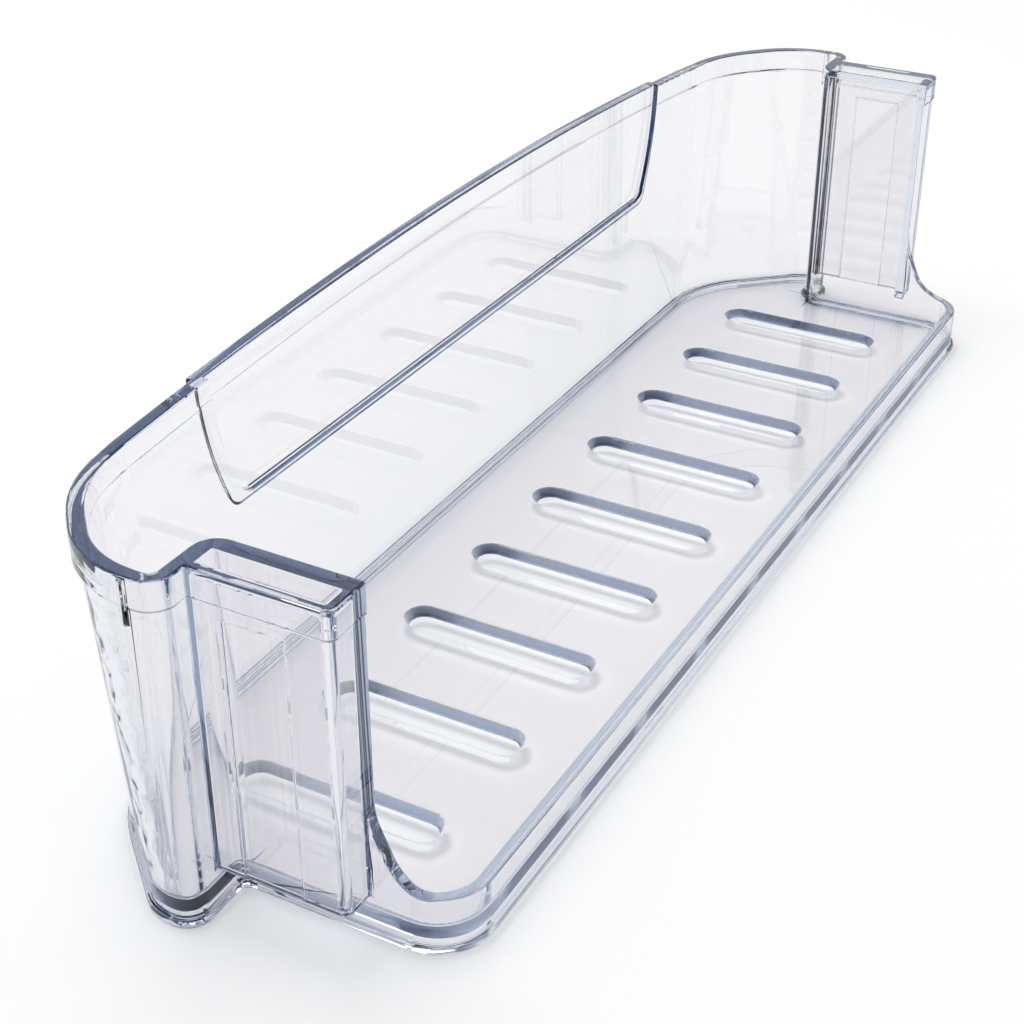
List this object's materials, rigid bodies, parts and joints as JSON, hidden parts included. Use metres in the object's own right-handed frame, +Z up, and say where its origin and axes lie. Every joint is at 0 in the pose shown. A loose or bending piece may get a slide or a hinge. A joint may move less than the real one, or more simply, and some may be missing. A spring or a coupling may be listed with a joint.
{
  "type": "fridge door shelf",
  "caption": "Clear moulded fridge door shelf with a tall crowned front, a low door side, drain slots in the floor and a hanging pocket at each end.",
  "frame": {"origin": "bottom centre of the bounding box, on the plane the foot ring stands on", "axes": "+X along the length of the shelf, -Y the tall front towards the room, +Y the low side towards the door, +Z up"},
  "size_m": [0.4286, 0.1128, 0.106],
  "materials": {
    "clear_plastic": "gloss"
  },
  "bodies": {
    "root": {"door_shelf": "clear_plastic"}
  },
  "joints": []
}
